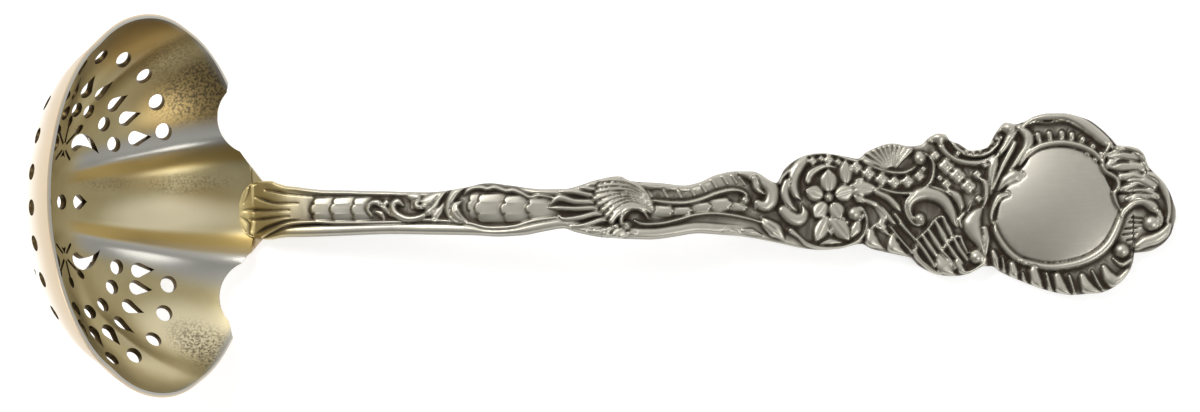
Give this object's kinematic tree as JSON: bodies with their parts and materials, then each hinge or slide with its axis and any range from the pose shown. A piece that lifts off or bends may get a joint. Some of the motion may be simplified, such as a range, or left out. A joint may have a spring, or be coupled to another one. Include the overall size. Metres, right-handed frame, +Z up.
{
  "type": "sugar sifter spoon",
  "caption": "Silver sugar sifter spoon with a fluted, pierced gilt bowl set steeply on a long handle with scroll, shell and flower relief and a blank oval panel.",
  "frame": {"origin": "on the table, under the middle of the whole spoon's bounding box", "axes": "+X runs from the bowl to the tip of the handle, +Z is up from the table, +Y completes the right-handed frame; the spoon lies on its back"},
  "size_m": [0.1438, 0.0486, 0.0379],
  "materials": {
    "gilt_silver": "worn gilding over pressed sheet silver, satin",
    "silver": "antique silver, bright on the raised relief and dark in the hollows",
    "solder": "silver solder, dull"
  },
  "bodies": {
    "root": {"bowl": "gilt_silver", "handle": "silver", "solder_seam": "solder"}
  },
  "joints": []
}
